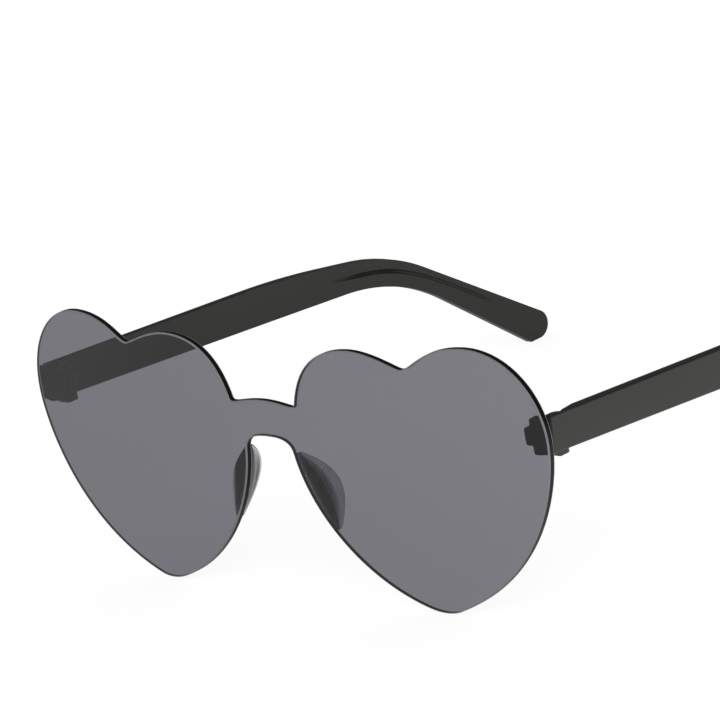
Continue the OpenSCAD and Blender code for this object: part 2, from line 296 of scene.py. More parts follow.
def makeMouldedPlastic(name, look):
    # Olive grey plastic moulded in a finely eroded tool: a soft sheen with a faint even grain
    material, tree, output = newMaterial(name)
    place = addNode(tree, "ShaderNodeTexCoord").outputs["Object"]
    cloud = addNode(
        tree, "ShaderNodeTexNoise", {"Scale": 1 / (look["cloud"] * mm), "Detail": 2}, {"Vector": place}
    )
    grain = addNode(
        tree,
        "ShaderNodeTexNoise",
        {"Scale": 1 / (look["grain"] * mm), "Detail": 2, "Roughness": 0.55},
        {"Vector": place},
    )
    colour = addNode(
        tree,
        "ShaderNodeMix",
        {"data_type": "RGBA", 6: linearColour(look["dark"]), 7: linearColour(look["light"])},
        {0: cloud.outputs["Fac"]},
    )
    rough = addNode(
        tree,
        "ShaderNodeMapRange",
        {"From Min": 0.3, "From Max": 0.7, "To Min": look["rough"][0], "To Max": look["rough"][1]},
        {"Value": grain.outputs["Fac"]},
    )
    bump = addNode(
        tree,
        "ShaderNodeBump",
        {"Strength": look["grainStrength"], "Distance": look["grainDepth"] * mm},
        {"Height": grain.outputs["Fac"]},
    )
    shader = addNode(
        tree,
        "ShaderNodeBsdfPrincipled",
        {"IOR": look["ior"]},
        {
            "Base Color": colour.outputs[2],
            "Roughness": rough.outputs["Result"],
            "Normal": bump.outputs["Normal"],
        },
    )
    tree.links.new(shader.outputs["BSDF"], output.inputs["Surface"])
    return material


mouldedPlastic = makeMouldedPlastic("olivePlastic", plasticLook)

steelLook = {
    "colour": "#b9b9bc",
    "rough": (0.22, 0.36),
    "marks": 0.12,  # the lathe's marks, coarser than real ones so that they show
    "markDepth": 0.003,
    "markStrength": 0.3,
}


def makeTurnedSteel(name, look):
    # Plain steel turned on a lathe: bright, with reflections broken by faint marks
    material, tree, output = newMaterial(name)
    place = addNode(tree, "ShaderNodeTexCoord")
    marks = addNode(
        tree,
        "ShaderNodeTexNoise",
        {"Scale": 1 / (look["marks"] * mm), "Detail": 2},
        {"Vector": place.outputs["Object"]},
    )
    rough = addNode(
        tree,
        "ShaderNodeMapRange",
        {"To Min": look["rough"][0], "To Max": look["rough"][1]},
        {"Value": marks.outputs["Fac"]},
    )
    bump = addNode(
        tree,
        "ShaderNodeBump",
        {"Strength": look["markStrength"], "Distance": look["markDepth"] * mm},
        {"Height": marks.outputs["Fac"]},
    )
    shader = addNode(
        tree,
        "ShaderNodeBsdfPrincipled",
        {"Base Color": linearColour(look["colour"]), "Metallic": 1},
        {"Roughness": rough.outputs["Result"], "Normal": bump.outputs["Normal"]},
    )
    tree.links.new(shader.outputs["BSDF"], output.inputs["Surface"])
    return material


turnedSteel = makeTurnedSteel("turnedSteel", steelLook)
print("materials made")

# The shield lens: two hearts and their bridge, cut flat and bent on to a ball
lensShape = {
    "frontWidth": 150,
    "heartHeight": 57.3,
    "bridgeGap": 18.8,  # between the two hearts
    "bridgeHeight": 7.8,
    "notchWidth": 13.9,
    "notchRound": 3.3,
    "bridgeCorner": 1,
    "thickness": 1.6,
    "frontRadius": 470,
    "edgeRound": 0.3,  # the ground bevels
    "edgeTurn": 15,  # degrees from one ring of the rounded edge to the next
    "edgeStep": 0.6,  # between the mesh's points along the rim
    "capStart": 0.9,  # how far inside the edge the even mesh of the faces starts
    "meshStep": 2.5,  # side of its triangles
    "rowShare": 0.866,  # height of an even triangle as a share of its side
    "clearShare": 0.55,  # the even mesh keeps this share of its step from the cap's ring
    "outline": {  # Bezier points of half of it, as shares of a heart's width and height
        "crownTop": 0.757,  # top of the bridge in its middle
        "corner": 0.742,  # where the bridge's top meets the heart
        "crownWay": (0.45, 0.75),  # shares of the way out to that corner
        "inner": ((0.029, 0.855), (0.09, 0.97), (0.26, 0.97)),
        "cleftIn": ((0.353, 0.97), (0.454, 0.912), (0.47, 0.912)),
        "cleftOut": ((0.516, 0.912), (0.565, 1), (0.718, 1)),
        "outer": ((0.88, 1), (1, 0.849), (1, 0.67)),
        "side": ((1, 0.54), (0.92, 0.17), (0.532, 0.01)),
        "tip": ((0.497, -0.005), (0.45, -0.003), (0.402, 0.016)),
        "noseTop": (0.03, 0.343),  # the first share is added to half the notch
        "noseLow": (0.16, 0.112),
        "notch": ((1, 0), (0.95, 0.92), (0.43, 1), (0, 1)),  # shares of half the notch and of its rounding
    },
}
heartWidth = (lensShape["frontWidth"] - lensShape["bridgeGap"]) / 2
lensMiddle = lensShape["heartHeight"] / 2


def onHeart(share):
    return np.array([lensShape["bridgeGap"] / 2 + share[0] * heartWidth, share[1] * lensShape["heartHeight"]])


def bezier(p, t):
    return p[0] * (1 - t) ** 3 + p[1] * 3 * t * (1 - t) ** 2 + p[2] * 3 * t * t * (1 - t) + p[3] * t ** 3


def bezierWay(p, t):
    way = (p[1] - p[0]) * (1 - t) ** 2 + (p[2] - p[1]) * 2 * t * (1 - t) + (p[3] - p[2]) * t * t
    return way / np.linalg.norm(way)


def heartCurves(shape):
    # Half of the outline, from the middle of the bridge round to the middle of the notch
    points = shape["outline"]
    crownZ = points["crownTop"] * shape["heartHeight"]
    corner = np.array([shape["bridgeGap"] / 2, points["corner"] * shape["heartHeight"]])
    inner, cleftIn, cleftOut, outer, side, tip = (
        [onHeart(s) for s in points[k]] for k in ("inner", "cleftIn", "cleftOut", "outer", "side", "tip")
    )
    cornerIn = corner - [shape["bridgeCorner"], 0]
    cornerUp = corner + shape["bridgeCorner"] * (inner[0] - corner) / np.linalg.norm(inner[0] - corner)
    notchTop = crownZ - shape["bridgeHeight"]
    notchSide = notchTop - shape["notchRound"]
    half = shape["notchWidth"] / 2
    noseOut, noseUp = points["noseTop"]
    noseSide = [
        np.array([half, notchSide]),
        np.array([half + noseOut * heartWidth, noseUp * shape["heartHeight"]]),
        onHeart(points["noseLow"]),
        tip[2],
    ]
    near, far = points["crownWay"]
    crown = [
        np.array([0, crownZ]),
        np.array([near * corner[0], crownZ]),
        np.array([far * corner[0], corner[1]]),
        cornerIn,
    ]
    curves = [
        crown,
        [cornerIn, corner, corner, cornerUp],
        [cornerUp] + inner,
        [inner[2]] + cleftIn,
        [cleftIn[2]] + cleftOut,
        [cleftOut[2]] + outer,
        [outer[2]] + side,
        [side[2]] + tip,
        noseSide[::-1],
        [np.array([s[0] * half, notchSide + s[1] * shape["notchRound"]]) for s in points["notch"]],
    ]
    return curves, noseSide, notchTop


heartHalf, noseSide, notchTop = heartCurves(lensShape)
frontY = lensShape["frontRadius"] - math.sqrt(lensShape["frontRadius"] ** 2 - (notchTop - lensMiddle) ** 2)
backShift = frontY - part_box("shield_lens")[0].y / mm  # from the ball's foremost point to the shared frame


def lensY(x, z, depth):
    # How far back a point of the bent lens lies that is this deep behind its front
    radius = lensShape["frontRadius"]
    return radius - np.sqrt((radius - depth) ** 2 - x * x - (z - lensMiddle) ** 2) - backShift


def heartOutline(curves, step):
    samples, fewest = 16, 6
    half = []
    for p in curves:
        marks = [bezier(p, i / samples) for i in range(samples + 1)]
        length = sum(np.linalg.norm(b - a) for a, b in zip(marks, marks[1:]))
        count = max(fewest, round(length / step))
        half += [bezier(p, i / count) for i in range(count)]
    end = np.array([0, notchTop])
    return np.array(half + [end] + [[-x, z] for x, z in half[:0:-1]])


def isInside(ring, x, z):
    crossings = 0
    for a, b in zip(ring, np.roll(ring, -1, 0)):
        if (a[1] > z) != (b[1] > z) and x < (b[0] - a[0]) * (z - a[1]) / (b[1] - a[1]) + a[0]:
            crossings += 1
    return crossings % 2 == 1


def lensProfile(shape):
    # Inset, depth and turn of each ring, from the front cap over the rounded rim to the back cap
    r = shape["edgeRound"]
    profile = [(shape["capStart"], 0.0, 0.0)]
    for a in (math.radians(d) for d in range(0, 91, shape["edgeTurn"])):
        profile.append((r * (1 - math.sin(a)), r * (1 - math.cos(a)), a))
    back = [(inset, shape["thickness"] - depth, math.pi - a) for inset, depth, a in profile[::-1]]
    return profile + back


def lensCap(ring, shape):
    # Even points inside the ring, joined into triangles; origins tell which points are the ring's own
    step = shape["meshStep"]
    inside = []
    for row in range(int(shape["heartHeight"] / step / shape["rowShare"]) + 2):
        z = row * step * shape["rowShare"]
        for column in range(int(shape["frontWidth"] / step) + 2):
            x = -shape["frontWidth"] / 2 + (column + row % 2 / 2) * step
            near = np.min(np.linalg.norm(ring - [x, z], axis=1)) < shape["clearShare"] * step
            if not near and isInside(ring, x, z):
                inside.append((x, z))
    points = [Vector(p) for p in ring] + [Vector(p) for p in inside]
    insideOnly, slack, wantOrigins = 1, 1e-5, True
    cap = delaunay_2d_cdt(points, [], [list(range(len(ring)))], insideOnly, slack, wantOrigins)
    points, origins = cap[0], cap[3]
    faces = [f for f in cap[2] if isInside(ring, *(sum(points[i][k] for i in f) / 3 for k in (0, 1)))]
    return points, faces, origins


def flatLens(shape):
    # The lens before it is bent: rings round the rim, and a cap in front and behind
    rim = heartOutline(heartHalf, shape["edgeStep"])
    way = np.roll(rim, -1, 0) - np.roll(rim, 1, 0)
    inward = np.stack([way[:, 1], -way[:, 0]], 1) / np.linalg.norm(way, axis=1)[:, None]
    count = len(rim)
    profile = lensProfile(shape)
    last = len(profile) - 1
    vertices, normals = [], []
    for inset, depth, angle in profile:
        for p, n in zip(rim + inward * inset, inward):
            vertices.append((p[0], depth, p[1]))
            normals.append((-n[0] * math.sin(angle), -n[1] * math.sin(angle), math.cos(angle)))
    faces, bands = [], []
    for k in range(last):
        onRim = profile[k][0] == profile[k + 1][0]
        onBevel = not onRim and 0 < k < last - 1
        for i in range(count):
            j = (i + 1) % count
            faces.append((k * count + i, k * count + j, (k + 1) * count + j, (k + 1) * count + i))
            bands.append((onBevel, onRim))
    points, capFaces, origins = lensCap(rim + inward * shape["capStart"], shape)
    for onBack in (False, True):
        start = last * count if onBack else 0
        number = {}
        for i, p in enumerate(points):
            source = origins[i][0] if origins[i] else None
            if source is not None and source < count:
                number[i] = start + source
            else:
                number[i] = len(vertices)
                vertices.append((p.x, shape["thickness"] if onBack else 0, p.y))
                normals.append((0, 0, -1 if onBack else 1))
        for f in capFaces:
            loop = [number[i] for i in f]
            faces.append(loop if onBack else loop[::-1])
            bands.append((False, False))
    return np.array(vertices), np.array(normals), faces, bands


def makeBallBend():
    # Bends a flat lens on to a ball. What lies deeper in it goes on a smaller ball about the same centre
    tree = bpy.data.node_groups.new("ballBend", "GeometryNodeTree")
    face = tree.interface
    face.new_socket("Geometry", in_out="INPUT", socket_type="NodeSocketGeometry")
    for name in ("Radius", "Middle Height", "Back Shift"):
        face.new_socket(name, in_out="INPUT", socket_type="NodeSocketFloat")
    for name in ("Face Material", "Bevel Material", "Rim Material"):
        face.new_socket(name, in_out="INPUT", socket_type="NodeSocketMaterial")
    face.new_socket("Geometry", in_out="OUTPUT", socket_type="NodeSocketGeometry")
    given = addNode(tree, "NodeGroupInput").outputs
    result = addNode(tree, "NodeGroupOutput")
    place = addNode(tree, "GeometryNodeInputPosition")
    parts = addNode(tree, "ShaderNodeSeparateXYZ", links={0: place.outputs[0]}).outputs
    # drop = radius - sqrt((radius - depth)^2 - across^2 - height^2)
    sums = {"across": parts["X"]}
    steps = (
        ("inner", "SUBTRACT", given["Radius"], parts["Y"]),
        ("height", "SUBTRACT", parts["Z"], given["Middle Height"]),
        ("innerSquare", "MULTIPLY", "inner", "inner"),
        ("acrossSquare", "MULTIPLY", "across", "across"),
        ("heightSquare", "MULTIPLY", "height", "height"),
        ("flat", "ADD", "acrossSquare", "heightSquare"),
        ("left", "SUBTRACT", "innerSquare", "flat"),
        ("root", "SQRT", "left"),
        ("drop", "SUBTRACT", given["Radius"], "root"),
        ("bent", "SUBTRACT", "drop", given["Back Shift"]),
    )
    for name, operation, *terms in steps:
        fed = {i: sums[t] if isinstance(t, str) else t for i, t in enumerate(terms)}
        sums[name] = addNode(tree, "ShaderNodeMath", {"operation": operation}, fed).outputs[0]
    bent = addNode(tree, "ShaderNodeCombineXYZ", links={"X": parts["X"], "Y": sums["bent"], "Z": parts["Z"]})
    moved = addNode(
        tree, "GeometryNodeSetPosition", links={"Geometry": given["Geometry"], "Position": bent.outputs[0]}
    )
    plain = addNode(tree, "GeometryNodeRealizeInstances", links={"Geometry": moved.outputs[0]})
    painted = addNode(
        tree,
        "GeometryNodeSetMaterial",
        links={"Geometry": plain.outputs[0], "Material": given["Face Material"]},
    )
    for band in ("Bevel", "Rim"):
        chosen = addNode(
            tree, "GeometryNodeInputNamedAttribute", {"data_type": "BOOLEAN", "Name": "is" + band}
        )
        painted = addNode(
            tree,
            "GeometryNodeSetMaterial",
            links={
                "Geometry": painted.outputs[0],
                "Selection": chosen.outputs["Attribute"],
                "Material": given[band + " Material"],
            },
        )
    tree.links.new(painted.outputs[0], result.inputs[0])
    return tree


def useTree(piece, tree, values):
    modifier = piece.modifiers.new(tree.name, "NODES")
    modifier.node_group = tree
    for item in tree.interface.items_tree:
        if item.item_type == "SOCKET" and item.in_out == "INPUT" and item.name in values:
            modifier[item.identifier] = values[item.name]
    settle(piece)


def makeLens():
    vertices, turns, faces, bands = flatLens(lensShape)
    piece = meshObject("lensShield", vertices * mm, faces)
    pointOutwards(piece)
    for number, name in enumerate(("isBevel", "isRim")):
        band = piece.data.attributes.new(name, "BOOLEAN", "FACE")
        band.data.foreach_set("value", [b[number] for b in bands])
    values = {
        "Radius": lensShape["frontRadius"] * mm,
        "Middle Height": lensMiddle * mm,
        "Back Shift": backShift * mm,
        "Face Material": smokePolycarbonate,
        "Bevel Material": groundBevelAndPaintedHighlight,
        "Rim Material": rimEdge,
    }
    useTree(piece, makeBallBend(), values)
    # Exact normals: square to the ball on the faces, and turning round the rim
    centre = Vector((0, lensShape["frontRadius"] * mm - backShift * mm, lensMiddle * mm))
    normals = []
    for v, (outX, outZ, forward) in zip(piece.data.vertices, turns):
        square = (v.co - centre).normalized()
        normals.append((square * forward + Vector((outX, 0, outZ))).normalized())
    piece.data.polygons.foreach_set("use_smooth", [True] * len(piece.data.polygons))
    piece.data.normals_split_custom_set_from_vertices(normals)
    finishPiece(piece, "front", ["shield_lens"], smokePolycarbonate)


makeLens()
print("lens made")

# The nose pads: a thick root behind the notch's edge carries a thin fin
padShape = {
    "width": 4.2,  # of the root, at the pad's middle
    "depth": 5.6,  # back from the lens
    "edge": 0.7,  # the fin's thickness
    "flare": 2.2,  # how far the fin leans out
    "least": 0.05,  # share of the full section that is left at the ends
    "inset": 0.25,  # from the notch's edge
    "gap": 0.03,  # the glue behind the lens
    "to": 0.438,  # how far down the notch's side it runs, as the Bezier curve's parameter
    "rootShare": 0.6,  # how far back the root reaches, as a share of the depth
    "shelf": 0.55,  # width of the root's step beside the fin
    "shelfSlope": 0.05,  # how far that step rises towards the fin
    "waist": (0.12, 0.25),  # pulls the root's side in: shares of the width and of the depth
    "rings": 56,  # cross sections from end to end
    "wallSteps": 12,
    "finSteps": 4,
    "edgeSteps": 8,
    "sharpAngle": 50,
}


def padSection(s, shape):
    # One cross section: across from the lens's edge, and back from the lens
    bulge = shape["least"] + (1 - shape["least"]) * 4 * s * (1 - s)
    edge = shape["edge"]
    width = edge + (shape["width"] - edge) * bulge
    depth = edge / 2 + (shape["depth"] - edge) * bulge
    lean = shape["flare"] * bulge
    shelf = shape["rootShare"] * depth
    finFrom = shelf + shape["shelfSlope"] * bulge

    def across(back):
        return shape["inset"] + lean * back / depth

    footOut = np.array([shape["inset"] + width, 0])
    rootOut = np.array([across(shelf) + edge + shape["shelf"] * bulge, shelf])
    waist = np.array([rootOut[0] + shape["waist"][0] * (width - edge), shape["waist"][1] * depth])
    points = [np.array([shape["inset"], 0])]
    for i in range(shape["wallSteps"] + 1):
        t = i / shape["wallSteps"]
        points.append(footOut * (1 - t) ** 2 + waist * 2 * t * (1 - t) + rootOut * t * t)
    for i in range(shape["finSteps"] + 1):
        back = finFrom + (depth - finFrom) * i / shape["finSteps"]
        points.append(np.array([across(back) + edge, back]))
    for i in range(1, shape["edgeSteps"] + 1):
        a = math.pi * i / shape["edgeSteps"]
        x = across(depth) + edge / 2 * (1 + math.cos(a))
        points.append(np.array([x, depth + edge / 2 * math.sin(a)]))
    return points


def makePad(name, side, node, shape):
    vertices, faces = [], []
    rings = shape["rings"]
    for k in range(rings + 1):
        s = (1 - math.cos(math.pi * k / rings)) / 2  # closer rings at the ends
        p, way = bezier(noseSide, s * shape["to"]), bezierWay(noseSide, s * shape["to"])
        out = np.array([-way[1], way[0]])
        for across, back in padSection(s, shape):
            x, z = p + out * across
            y = lensY(x, z, lensShape["thickness"]) + shape["gap"] + back
            vertices.append(np.array([side * x, y, z]) * mm)
    count = len(vertices) // (rings + 1)
    faces.append(list(range(count)))
    for k in range(rings):
        for i in range(count):
            a, b = k * count + i, k * count + (i + 1) % count
            faces.append((a, a + count, b + count, b))
    faces.append([rings * count + i for i in range(count)][::-1])
    piece = meshObject(name, vertices, faces)
    pointOutwards(piece)
    markSharp(piece, shape["sharpAngle"])
    finishPiece(piece, "front", [node], satinPolycarbonate)


makePad("nosePadLeft", 1, "nose_pad_left", padShape)
makePad("nosePadRight", -1, "nose_pad_right", padShape)
print("nose pads made")

# The temples start as copies of the construction solids, and get their rounded edges and grooves here
templeShape = {
    "outerFace": 74.3,
    "innerFace": 72.0,
    "round": 0.4,
    "innerRound": 0.35,
    "innerFrom": -59.3,  # the inner edge is rounded behind the hinge
    "steps": 4,
    "turn": 60,  # degrees; only edges that turn more are rounded
    "sharpAngle": 32,
    "groove": {  # a styling line on the bend's inner side, deepest where the temple starts to drop
        "points": [  # its line along and up the inner face
            (15.0, 33.2), (20.8, 32.25), (25.1, 31.5), (29.3, 30.55), (33.7, 29.25),
            (38.1, 27.45), (44.8, 23.6), (54.9, 17.2), (61, 13.0),
        ],
        "lineDegree": 5,  # of the smooth curve through the points
        "along": (15, 18, 22, 33, 38, 45, 58, 61),  # where depth and half width are given
        "depth": (0.03, 0.35, 0.85, 0.85, 0.45, 0.38, 0.32, 0.03),
        "halfWidth": (0.12, 0.35, 0.5, 0.5, 0.42, 0.4, 0.36, 0.12),
        "stations": 70,  # cross sections of the cutter
        "corners": 16,
        "plainDepth": (0.002, 0.4),  # the solid's own points this deep in the face are its plain groove
        "plainFrom": 10,  # and lie behind this
    },
    "dip": {  # the top of the temple dips a little over the hinge
        "start": -70.3,  # the cutter begins in the air before the temple
        "from": -64.3,
        "to": -59.4,
        "front": 42.25,  # height of the dip's floor up to "from"
        "back": 42.54,  # and at "to"
        "inner": 71.0,
        "outer": 73.45,
        "over": 44,  # the cutter's top, in the air above the temple
    },
}


def mergedCopy(node, name):
    # A copy of a construction solid as one closed skin with whole flat faces
    piece = bpy.data.objects.new(name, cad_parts[node].data.copy())
    bpy.context.scene.collection.objects.link(piece)
    shape = bmesh.new()
    shape.from_mesh(piece.data)
    bmesh.ops.remove_doubles(shape, verts=shape.verts, dist=mergeDistance)
    bmesh.ops.dissolve_limit(shape, angle_limit=flatAngle, verts=shape.verts, edges=shape.edges)
    shape.to_mesh(piece.data)
    shape.free()
    piece.data.materials.clear()
    return piece


def fillPlainGroove(piece, groove, innerFace):
    # Takes the solid's plain groove out of the inner face, which is then whole again
    low, high = ((innerFace + d) * mm for d in groove["plainDepth"])
    shape = bmesh.new()
    shape.from_mesh(piece.data)
    grooved = [v for v in shape.verts if low < abs(v.co.x) < high and v.co.y > groove["plainFrom"] * mm]
    bmesh.ops.delete(shape, geom=grooved, context="VERTS")
    bare = [e for e in shape.edges if len(e.link_faces) == 1]
    bmesh.ops.holes_fill(shape, edges=bare, sides=0)
    bmesh.ops.dissolve_limit(shape, angle_limit=flatAngle, verts=shape.verts, edges=shape.edges)
    shape.to_mesh(piece.data)
    shape.free()


def roundTemple(piece, edges):
    # The outer face's edges all round, then the inner face's edges behind the hinge
    shape = bmesh.new()
    shape.from_mesh(piece.data)
    faceSlack = 0.01 * mm
    everywhere = -1000  # far in front of the temple
    passes = (("outerFace", "round", everywhere), ("innerFace", "innerRound", edges["innerFrom"]))
    for face, width, start in passes:
        chosen = [
            e
            for e in shape.edges
            if len(e.link_faces) == 2
            and e.calc_face_angle(0) > math.radians(edges["turn"])
            and all(abs(abs(v.co.x) - edges[face] * mm) < faceSlack and v.co.y > start * mm for v in e.verts)
        ]
        bmesh.ops.bevel(
            shape,
            geom=chosen,
            offset=edges[width] * mm,
            segments=edges["steps"],
            profile=0.5,
            affect="EDGES",
            clamp_overlap=True,
        )
    shape.to_mesh(piece.data)
    shape.free()


def makeGrooveCutter(side, shape, innerFace):
    along = np.linspace(shape["along"][0], shape["along"][-1], shape["stations"])
    run = np.polyfit(*np.array(shape["points"]).T, shape["lineDegree"])
    heights, slopes = np.polyval(run, along), np.polyval(np.polyder(run), along)
    corners = shape["corners"]
    vertices, faces = [], []
    for y, z, slope in zip(along, heights, slopes):
        across = np.array([-slope, 1]) / math.hypot(slope, 1)
        deep, half = (np.interp(y, shape["along"], shape[k]) for k in ("depth", "halfWidth"))
        for i in range(corners):
            a = 2 * math.pi * i / corners
            u, v = np.array([y, z]) + across * half * math.cos(a)
            vertices.append(np.array([side * (innerFace + deep * math.sin(a)), u, v]) * mm)
    for k in range(shape["stations"] - 1):
        for i in range(corners):
            a, b = k * corners + i, k * corners + (i + 1) % corners
            faces.append((a, b, b + corners, a + corners))
    faces += [list(range(corners)), [len(vertices) - 1 - i for i in range(corners)]]
    return meshObject("grooveCutter", vertices, faces)


def makeDipCutter(side, shape):
    low = [(shape["start"], shape["front"]), (shape["from"], shape["front"]), (shape["to"], shape["back"])]
    profile = low + [(shape["to"], shape["over"]), (shape["start"], shape["over"])]
    vertices = [np.array([side * x, y, z]) * mm for x in (shape["inner"], shape["outer"]) for y, z in profile]
    count = len(profile)
    faces = [(i, (i + 1) % count, (i + 1) % count + count, i + count) for i in range(count)]
    faces += [list(range(count)), list(range(count, 2 * count))]
    return meshObject("dipCutter", vertices, faces)


def makeTemple(sideName, side):
    temple = mergedCopy("temple_" + sideName, "temple" + sideName.capitalize())
    fillPlainGroove(temple, templeShape["groove"], templeShape["innerFace"])
    roundTemple(temple, templeShape)
    combine(temple, makeGrooveCutter(side, templeShape["groove"], templeShape["innerFace"]), "DIFFERENCE")
    combine(temple, makeDipCutter(side, templeShape["dip"]), "DIFFERENCE")
    smoothSkin(temple, templeShape["sharpAngle"])
    finishPiece(temple, sideName + "_temple", ["temple_" + sideName], mouldedPlastic)


# The endpieces are copies too. Each foot gets a thin skirt behind the lens, nearly out to its edge
endpieceShape = {
    "round": 0.1,
    "steps": 2,
    "bevelAngle": 40,
    "sharpAngle": 40,
    "skirt": {
        "from": 72.6,  # beside the middle, inside the foot
        "low": 35.6,
        "high": 43.0,
        "edgeGap": 0.42,  # how far inside the lens's edge it ends
        "lensGap": 0.05,
        "thickness": 0.27,
        "columns": 3,
        "rows": 10,
    },
}


def makeSkirt(side, shape):
    outline = heartOutline(heartHalf, lensShape["edgeStep"])
    spare = 3  # of the outline above and below the skirt
    low, high, start = shape["low"], shape["high"], shape["from"]
    edge = np.array([p for p in outline if p[0] > start - spare and low - spare < p[1] < high + spare])
    edge = edge[np.argsort(edge[:, 1])]
    columns, rows = shape["columns"], shape["rows"]
    vertices, faces = [], []
    for layer in (shape["lensGap"], shape["lensGap"] + shape["thickness"]):
        for j in range(rows + 1):
            z = low + (high - low) * j / rows
            reach = np.interp(z, edge[:, 1], edge[:, 0]) - shape["edgeGap"]
            for i in range(columns + 1):
                x = start + (reach - start) * i / columns
                vertices.append(np.array([side * x, lensY(x, z, lensShape["thickness"]) + layer, z]) * mm)
    count = (columns + 1) * (rows + 1)
    for j in range(rows):
        for i in range(columns):
            a = j * (columns + 1) + i
            quad = (a, a + 1, a + columns + 2, a + columns + 1)
            faces += [quad, tuple(v + count for v in quad[::-1])]
    around = list(range(columns)) + [j * (columns + 1) + columns for j in range(rows)]
    around += [count - 1 - i for i in range(columns)] + [(rows - j) * (columns + 1) for j in range(rows)]
    for a, b in zip(around, around[1:] + around[:1]):
        faces.append((b, a, a + count, b + count))
    return meshObject("skirt", vertices, faces)


def makeEndpiece(sideName, side):
    endpiece = mergedCopy("endpiece_" + sideName, "endpiece" + sideName.capitalize())
    combine(endpiece, makeSkirt(side, endpieceShape["skirt"]), "UNION")
    roundEdges(endpiece, endpieceShape)
    smoothSkin(endpiece, endpieceShape["sharpAngle"])
    finishPiece(endpiece, "front", ["endpiece_" + sideName], mouldedPlastic)


for sideName, side in (("left", 1), ("right", -1)):
    makeTemple(sideName, side)
    makeEndpiece(sideName, side)
print("endpieces and temples made")

# The hinge screws stand in the middle of the solids that they replace
screwShape = {
    "sizes": {  # named as the tree's inputs are
        "Shank Radius": 0.7,
        "Head Radius": 1.0,
        "Head Height": 0.5,
        "Length": 8.2,
        "Slot Width": 0.3,
        "Slot Depth": 0.25,
    },
    "sides": 48,
    "slotLength": 4,  # of the cutter, longer than the head is wide
    "proud": 0.01,  # how far the cutter stands above the head
    "round": 0.08,
    "steps": 2,
    "bevelAngle": 50,
    "sharpAngle": 40,
}


def makeScrewTree():
    # One slotted screw, set at each of the points that come in
    tree = bpy.data.node_groups.new("slottedScrews", "GeometryNodeTree")
    face = tree.interface
    face.new_socket("Geometry", in_out="INPUT", socket_type="NodeSocketGeometry")
    for name in screwShape["sizes"]:
        face.new_socket(name, in_out="INPUT", socket_type="NodeSocketFloat")
    face.new_socket("Sides", in_out="INPUT", socket_type="NodeSocketInt")
    face.new_socket("Material", in_out="INPUT", socket_type="NodeSocketMaterial")
    face.new_socket("Geometry", in_out="OUTPUT", socket_type="NodeSocketGeometry")
    given = addNode(tree, "NodeGroupInput").outputs
    result = addNode(tree, "NodeGroupOutput")
    half = {}
    for name in ("Length", "Head Height", "Slot Depth"):
        middle = addNode(tree, "ShaderNodeMath", {"operation": "MULTIPLY", 1: 0.5}, {0: given[name]})
        half[name] = middle.outputs[0]
    rounds = {}
    for name, radius, depth in (("shank", "Shank Radius", "Length"), ("head", "Head Radius", "Head Height")):
        rounds[name] = addNode(
            tree,
            "GeometryNodeMeshCylinder",
            links={"Vertices": given["Sides"], "Radius": given[radius], "Depth": given[depth]},
        )
    slotSize = addNode(
        tree,
        "ShaderNodeCombineXYZ",
        {"X": screwShape["slotLength"] * mm},
        {"Y": given["Slot Width"], "Z": given["Slot Depth"]},
    )
    slot = addNode(tree, "GeometryNodeMeshCube", links={"Size": slotSize.outputs[0]})
    headMiddle, slotMiddle = (
        addNode(tree, "ShaderNodeMath", {"operation": "SUBTRACT"}, {0: half["Length"], 1: half[name]})
        for name in ("Head Height", "Slot Depth")
    )
    # The cutter stands a little proud of the head, so that no skin is left over the slot
    proud = addNode(
        tree, "ShaderNodeMath", {"operation": "ADD", 1: screwShape["proud"] * mm}, {0: slotMiddle.outputs[0]}
    )
    raised = {}
    for name, form, height in (("head", rounds["head"], headMiddle), ("slot", slot, proud)):
        offset = addNode(tree, "ShaderNodeCombineXYZ", links={"Z": height.outputs[0]})
        raised[name] = addNode(
            tree,
            "GeometryNodeTransform",
            links={"Geometry": form.outputs["Mesh"], "Translation": offset.outputs[0]},
        )
    body = addNode(tree, "GeometryNodeMeshBoolean", {"operation": "UNION", "solver": "EXACT"})
    tree.links.new(rounds["shank"].outputs["Mesh"], body.inputs["Mesh 2"])
    tree.links.new(raised["head"].outputs[0], body.inputs["Mesh 2"])
    cut = addNode(tree, "GeometryNodeMeshBoolean", {"operation": "DIFFERENCE", "solver": "EXACT"})
    tree.links.new(body.outputs["Mesh"], cut.inputs["Mesh 1"])
    tree.links.new(raised["slot"].outputs[0], cut.inputs["Mesh 2"])
    spread = addNode(
        tree,
        "GeometryNodeInstanceOnPoints",
        links={"Points": given["Geometry"], "Instance": cut.outputs["Mesh"]},
    )
    plain = addNode(tree, "GeometryNodeRealizeInstances", links={"Geometry": spread.outputs[0]})
    painted = addNode(
        tree, "GeometryNodeSetMaterial", links={"Geometry": plain.outputs[0], "Material": given["Material"]}
    )
    tree.links.new(painted.outputs[0], result.inputs[0])
    return tree


def makeScrews():
    middles = []
    for sideName in ("left", "right"):
        low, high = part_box("hinge_screw_" + sideName)
        middles.append((low + high) / 2)
    piece = meshObject("hingeScrews", middles, [])
    values = {name: length * mm for name, length in screwShape["sizes"].items()}
    useTree(piece, makeScrewTree(), dict(values, Sides=screwShape["sides"], Material=turnedSteel))
    roundEdges(piece, screwShape)
    smoothSkin(piece, screwShape["sharpAngle"])
    finishPiece(piece, "front", ["hinge_screw_left", "hinge_screw_right"], turnedSteel)


makeScrews()
print("screws made")

